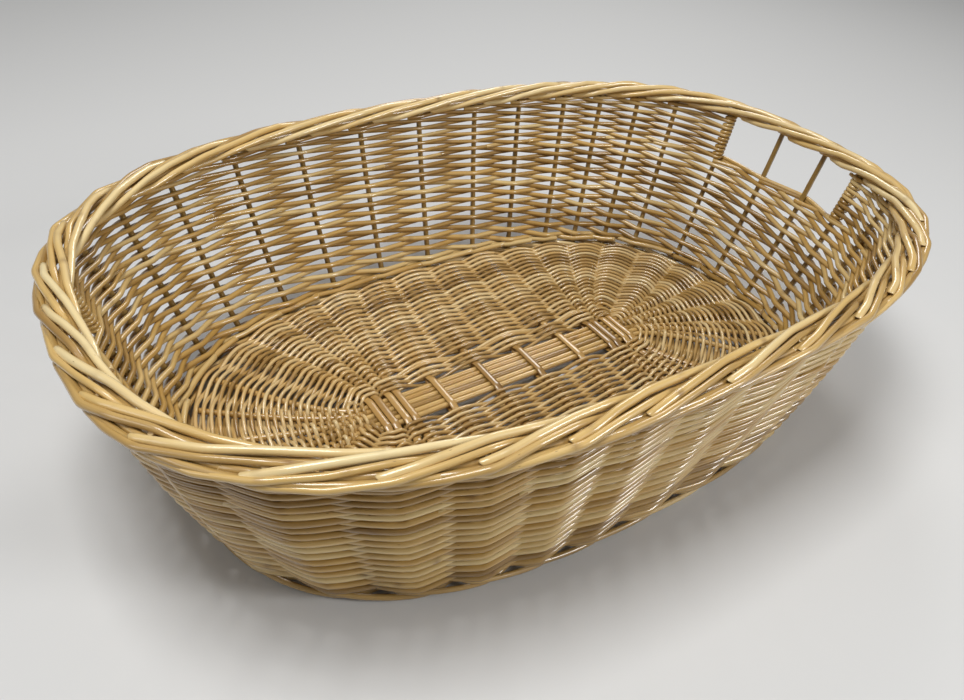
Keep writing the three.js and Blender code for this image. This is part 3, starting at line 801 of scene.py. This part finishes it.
def make_long_rods():
    """Each rod is two spokes with a straight middle between them, and a slow wave up and down."""
    random = np.random.default_rng(51)
    share = np.linspace(0, 1, LONG_ROD_SPOKE_POINTS)
    middle = np.linspace(-CROSS_HALF[0], CROSS_HALF[0], LONG_ROD_MIDDLE_POINTS)[1:-1]
    for number in range(LONG_ROD_COUNT):
        y = (number - (LONG_ROD_COUNT - 1) / 2) * LONG_ROD_PITCH
        right = spoke_curve((number - HALF_RODS) % SPOKE_COUNT, share)
        left = spoke_curve(HALF_SPOKES + HALF_RODS - 1 - number, share)[::-1]
        flat = np.concatenate([left, np.stack([middle, np.full_like(middle, y)], -1), right])
        height = BASE_HEIGHT + wander(random, flat[:, 0], LONG_ROD_UNEVEN, UNEVEN_PERIOD)
        path = np.concatenate([flat, height[:, None]], 1)
        butt = LONG_ROD_RADIUS * random.uniform(0.96, 1.04)
        bundle = new_bundle()
        add_rod(bundle, random, path, butt, butt * LONG_ROD_TAPER, STOUT_SIDES)
        name = f"base_long_rod_{number + 1}"
        make_piece(f"{name}_rod", bundle, long_rod_willow, [name])


make_long_rods()

# %% Slit cross sticks
SLIT_HALF = LONG_ROD_RADIUS + 1.5 * MM
SLIT_TAPER = 6.0 * MM
SLIT_INSET = 1.5 * MM
STICK_TAPER = 0.96
STICK_FLATNESS = STICK_HALF_HEIGHT / 2 / STICK_HALF_WIDTH
STICK_SPOKE_POINTS = 24
STICK_MIDDLE_POINTS = 26


def parted(y):
    """How far each half of a slit stick is from its middle: half its own thickness where the halves touch,
    and SLIT_HALF over the long rods, by a smooth step, a^2 (3 - 2a), of the distance from them."""
    away = np.clip((np.abs(y) - BUNDLE_HALF + SLIT_INSET) / (SLIT_TAPER * 1.5), 0, 1)
    return SLIT_HALF + (STICK_HALF_HEIGHT / 2 - SLIT_HALF) * away * away * (3 - 2 * away)


def make_cross_sticks():
    """Each stick is two flat halves, one over the other, that run out along a spoke on either side."""
    random = np.random.default_rng(61)
    share = np.linspace(0, 1, STICK_SPOKE_POINTS)
    middle = np.linspace(-CROSS_HALF[1], CROSS_HALF[1], STICK_MIDDLE_POINTS)[1:-1]
    for number, x in enumerate(STICK_PLACES):
        upper = spoke_curve(HALF_RODS + STICK_COUNT - 1 - number, share)
        lower = spoke_curve(HALF_SPOKES + HALF_RODS + number, share)[::-1]
        flat = np.concatenate([lower, np.stack([np.full_like(middle, x), middle], -1), upper])
        bundle = new_bundle()
        for side in (1, -1):
            height = BASE_HEIGHT + side * parted(flat[:, 1])
            path = np.concatenate([flat, height[:, None]], 1)
            tone = random.uniform(0.2, 0.9)
            add_rod(bundle, random, path, STICK_HALF_WIDTH, STICK_HALF_WIDTH * STICK_TAPER, STOUT_SIDES,
                    tone=tone, flat=STICK_FLATNESS)
        name = f"base_cross_stick_{number + 1:02d}"
        make_piece(f"{name}_halves", bundle, stick_willow, [name])


make_cross_sticks()

# %% [markdown]
# ## The base weave
# Two thin rods chase each other round the spokes, one over where the other is under. Near the cross the
# spokes are too close for that, so for three rounds they are taken two at a time, apart from the single
# sticks. Closed rings would be simpler, but a chasing pair never closes: it winds outwards. So the path in
# plan runs through the spokes at one share of their length, and that share grows with every round.

# %% Rounds of the base in plan
BASE_LEVELS = 45
TABLE_STEPS = 6
EDGE_SPREAD = 7.0 * MM
CORNER_WEIGHTS = np.array([1, 2, 3, 4, 3, 2, 1]) / 16


def ring_table(share):
    """Points in plan of one round at a share of the spokes: straight from spoke to spoke, then smoothed
    by a running mean, which rounds the corners."""
    corners = np.array([spoke_curve(spoke, share) for spoke in range(SPOKE_COUNT)])
    following = np.roll(corners, -1, 0)
    part = np.arange(TABLE_STEPS)[None, :, None] / TABLE_STEPS
    ring = (corners[:, None] * (1 - part) + following[:, None] * part).reshape(-1, 2)
    return sum(w * np.roll(ring, k - 3, 0) for k, w in enumerate(CORNER_WEIGHTS))


ring_tables = np.array([ring_table(share) for share in np.linspace(0, 1, BASE_LEVELS)])
ring_tables = np.concatenate([ring_tables, ring_tables[:, :1]], 1)


def plan_points(count, share):
    """Points in plan at counts of spokes and shares of their length. Each is mixed from the four points of
    the tables round it, and moved outwards by EDGE_SPREAD share^2."""
    level = share * (BASE_LEVELS - 1)
    low = np.minimum(level.astype(int), BASE_LEVELS - 2)
    mix = (level - low)[:, None]
    place = np.mod(count, SPOKE_COUNT) * TABLE_STEPS
    at = np.minimum(place.astype(int), SPOKE_COUNT * TABLE_STEPS - 1)
    step = (place - at)[:, None]
    near = ring_tables[low, at] * (1 - step) + ring_tables[low, at + 1] * step
    far = ring_tables[low + 1, at] * (1 - step) + ring_tables[low + 1, at + 1] * step
    flat = near * (1 - mix) + far * mix
    return flat + EDGE_SPREAD * share[:, None] ** 2 * unit(flat)


print("tables of", ring_tables.shape[1], "points for", BASE_LEVELS, "rounds")

# %% Base weave
BASE_ROD_RADIUS = 1.7 * MM
BASE_ROUNDS = 23
BASE_UNEVEN = 0.2 * MM
CHASERS = 2
PAIRED_ROUNDS = 3
GROUP_SIZES = [2] * 3 + [1] * 4 + [2] * 7 + [1] * 4 + [2] * 4
GROUP_COUNT = len(GROUP_SIZES)
SHORTEST_ROD = 14
LONGEST_ROD = 26


def rod_changes(random, last):
    """Counts of spokes at which one rod gives way to the next: odd ones, where the first chaser is under a
    spoke and the second over it."""
    cuts = [0]
    while cuts[-1] < last - LONGEST_ROD:
        cut = cuts[-1] + 2 * random.integers(SHORTEST_ROD // 2, LONGEST_ROD // 2 + 1)
        cuts.append(cut + 1 - cut % 2)
    return cuts + [last]


def group_number(count):
    """Number of the group that a spoke belongs to, level across a group and even between groups."""
    ends = 1 + np.cumsum(GROUP_SIZES)
    starts = ends - GROUP_SIZES
    spokes = np.stack([starts, ends - 1], -1).ravel()
    spokes = np.concatenate([[spokes[-1] - SPOKE_COUNT], spokes, [SPOKE_COUNT + 1]])
    groups = np.concatenate([[0], np.repeat(np.arange(1, GROUP_COUNT + 1), 2), [GROUP_COUNT + 1]])
    turns = np.floor(count / SPOKE_COUNT)
    return np.interp(count - turns * SPOKE_COUNT, spokes, groups) + turns * GROUP_COUNT


def make_base_weave():
    """Each chaser is over and under the spokes, or groups of them, by a cosine of their number. Its reach up
    and down is its own radius and the stick's half height, and more where the slit sticks are parted."""
    random = np.random.default_rng(71)
    bundle = new_bundle()
    for chaser in range(CHASERS):
        cuts = rod_changes(random, BASE_ROUNDS * SPOKE_COUNT)
        for start, stop in zip(cuts[:-1], cuts[1:]):
            count = np.arange(start - TUCK, stop + TUCK, 1 / TABLE_STEPS)
            rounds = count / SPOKE_COUNT
            flat = plan_points(count, np.clip((rounds + chaser / CHASERS) / BASE_ROUNDS, 0, 1))
            phase = np.where(rounds < PAIRED_ROUNDS, group_number(count), count) + chaser
            on_sticks = np.clip((CROSS_HALF[0] - np.abs(flat[:, 0])) / SLIT_TAPER, 0, 1)
            bulge = parted(np.maximum(np.abs(flat[:, 1]), CROSS_HALF[1])) - STICK_HALF_HEIGHT / 2
            reach = BASE_ROD_RADIUS + STICK_HALF_HEIGHT + on_sticks * bulge
            lift = reach * np.cos(np.pi * phase) + wander(random, count, BASE_UNEVEN, 4.0)
            path = np.concatenate([flat, (BASE_HEIGHT + lift)[:, None]], 1)
            butt = BASE_ROD_RADIUS * random.uniform(1.0, 1.12)
            tip = BASE_ROD_RADIUS * random.uniform(0.86, 0.97)
            add_rod(bundle, random, path, butt, tip)
    make_piece("base_weave_rods", bundle, base_willow, ["base_weave"])


make_base_weave()

# %% [markdown]
# ## The rolled border
# Two thick rods start at every stake. The pale one is cut off on top of the border, and rolls inwards over
# the next two stakes before it dives. The tan one comes up from under the outer edge, kinks, crosses the
# top and slips under the next cut end. A twisted rope would be the easy way, but it would turn evenly, with
# no cut ends. A rod that is bent this hard is straight between its kinks, so its route is a few points with
# straight lines between them. Three more rods run inside the rope, the tips of rods that were rolled in.

# %% Routes of the border
BORDER_HEIGHT = 173.6 * MM
BORDER_STEP = 2.5 * MM
BEND_WEIGHTS = np.array([1, 2, 3, 2, 1]) / 9
# Stakes past the start, millimetres outwards from the middle of the border, and millimetres above it
PALE_ROUTE = [(-0.1, 6.4, -0.4), (0.2, 4.0, 2.6), (0.5, -0.4, 4.0), (1.0, -6.6, 4.2), (1.5, -9.0, 2.4),
              (2.0, -10.6, -1.0), (2.4, -9.0, -5.0), (2.8, -4.0, -7.0)]
TAN_ROUTE = [(-1.6, 0.0, -6.4), (-1.3, 5.0, -6.2), (-1.0, 9.4, -5.2), (-0.5, 10.2, -3.0), (0.0, 10.8, 0.0),
             (0.5, 5.2, 2.4), (1.0, -0.4, 3.0), (1.25, -3.0, 0.0), (1.7, -4.0, -4.0), (2.1, -2.0, -6.0)]
# Millimetres outwards and above for the rods inside the rope
CORE_PLACES = [(3.2, -2.2), (-5.4, -2.0), (8.2, -2.6)]


def bent_path(keys):
    """Straight lines through key points, with a point every BORDER_STEP, and the corners rounded by a
    running mean of five points with the weights 1 2 3 2 1."""
    walked = walked_along(keys)
    at = np.linspace(0, walked[-1], int(walked[-1] / BORDER_STEP) + 1)
    path = np.stack([np.interp(at, walked, keys[:, axis]) for axis in range(3)], -1)
    padded = np.concatenate([2 * path[:1] - path[2:0:-1], path, 2 * path[-1:] - path[-2:-4:-1]])
    return sum(w * padded[k:k + len(path)] for k, w in enumerate(BEND_WEIGHTS))


def rim_points(place, outwards, above):
    """Points of the border: outwards and above its middle line are in millimetres."""
    points = wall(place, RIM_HEIGHT, outwards * MM)
    points[..., 2] = BORDER_HEIGHT + above * MM
    return points


print("a pale rod dives", PALE_ROUTE[-1][0], "stakes past its own")

# %% Border
PALE_RADIUS = 2.8 * MM
PALE_TAPER = 0.84
TAN_RADIUS = 2.5 * MM
TAN_TAPER = 0.88
CORE_RADIUS = 2.9 * MM
CORE_TAPER = 0.9
CORE_TONE = 0.9
CORE_STEP = 0.25
CORE_OVERLAP = 0.3
LOOSENESS = 0.4
MOST_LOOSE = 0.8
BORDER_SLANT = 0.8


def add_border_rod(bundle, random, stake, route, butt, tip, tone):
    """One rod of the border: its route from its own stake on, with each key point moved a little by normal
    noise in millimetres, and with both slanted ends tucked down."""
    route = np.array(route)
    loose = random.normal(0, LOOSENESS, (len(route), 2)).clip(-MOST_LOOSE, MOST_LOOSE)
    keys = rim_points(stake + route[:, 0], route[:, 1] + loose[:, 0], route[:, 2] + loose[:, 1])
    add_rod(bundle, random, bent_path(keys), butt, tip, STOUT_SIDES, slant=BORDER_SLANT, tone=tone,
            tucked=True)


def make_border():
    """First the rods inside the rope, 5 to 9 stakes long, then a pale and a tan rod at each stake."""
    random = np.random.default_rng(81)
    bundle = new_bundle()
    for outwards, above in CORE_PLACES:
        place = random.uniform(0, 5)
        stop = place + STAKE_COUNT
        while place < stop:
            end = min(place + random.uniform(5, 9), stop)
            path = rim_points(np.arange(place - CORE_OVERLAP, end + CORE_OVERLAP, CORE_STEP), outwards, above)
            add_rod(bundle, random, path, CORE_RADIUS, CORE_RADIUS * CORE_TAPER, tone=CORE_TONE)
            place = end
    for stake in range(STAKE_COUNT):
        butt = PALE_RADIUS * random.uniform(0.93, 1.07)
        add_border_rod(bundle, random, stake, PALE_ROUTE, butt, butt * PALE_TAPER, random.uniform(0.0, 0.6))
        butt = TAN_RADIUS * random.uniform(0.92, 1.08)
        add_border_rod(bundle, random, stake, TAN_ROUTE, butt, butt * TAN_TAPER, random.uniform(0.45, 1.0))
    make_piece("border_rods", bundle, border_willow, ["border"])


make_border()

# %% [markdown]
# ## Floor and light
# The bed stands on a plain pale floor, which takes its shadow. One big soft sky would be the simplest light,
# but varnished rods look dull in it, with nothing small and bright to mirror. So four square lamps do most
# of the work. The strongest hangs overhead, a little to the left. One behind on the right and one in front
# on the right draw the long highlights. A weak one lights the left, and a faint even sky fills in the rest.

# %% Floor
FLOOR_SIZE = 8.0
FLOOR_COLOUR = "#cccccb"
FLOOR_ROUGHNESS = 0.7


def make_floor():
    """A flat square with its middle under the bed."""
    half = FLOOR_SIZE / 2
    corners = [(-half, -half, 0), (half, -half, 0), (half, half, 0), (-half, half, 0)]
    mesh = bpy.data.meshes.new("floor")
    mesh.from_pydata(corners, [], [(0, 1, 2, 3)])
    floor = add_object("floor", mesh)
    material = bpy.data.materials.new("pale_floor")
    material.use_nodes = True
    shader = material.node_tree.nodes["Principled BSDF"]
    shader.inputs["Base Color"].default_value = linear(FLOOR_COLOUR)
    shader.inputs["Roughness"].default_value = FLOOR_ROUGHNESS
    mesh.materials.append(material)
    print("floor:", FLOOR_SIZE, "m square")


make_floor()

# %% Light
SKY_COLOUR = "#f6f5f3"
SKY_STRENGTH = 0.18


def make_lamp(name, place, target, size, power):
    """A square lamp that shines from its place to its target."""
    data = bpy.data.lights.new(name, "AREA")
    data.shape = "SQUARE"
    data.size = size
    data.energy = power
    lamp = add_object(name, data)
    lamp.location = place
    lamp.rotation_mode = "QUATERNION"
    lamp.rotation_quaternion = (Vector(target) - Vector(place)).to_track_quat("-Z", "Y")
    print(name, power, "W")


make_lamp("overhead_lamp", place=(-0.45, -0.05, 1.9), target=(0, 0, 0.05), size=0.75, power=27)
make_lamp("window_lamp", place=(1.15, 1.25, 1.45), target=(0, 0, 0.1), size=0.6, power=11)
make_lamp("front_lamp", place=(1.0, -1.5, 1.1), target=(0, 0, 0.1), size=0.5, power=18)
make_lamp("left_lamp", place=(-1.5, 0.1, 1.0), target=(0.2, 0, 0.1), size=0.7, power=3.5)
world = bpy.data.worlds.new("studio")
world.use_nodes = True
world.node_tree.nodes["Background"].inputs["Color"].default_value = linear(SKY_COLOUR)
world.node_tree.nodes["Background"].inputs["Strength"].default_value = SKY_STRENGTH
bpy.context.scene.world = world
bpy.context.scene.view_settings.view_transform = "Standard"
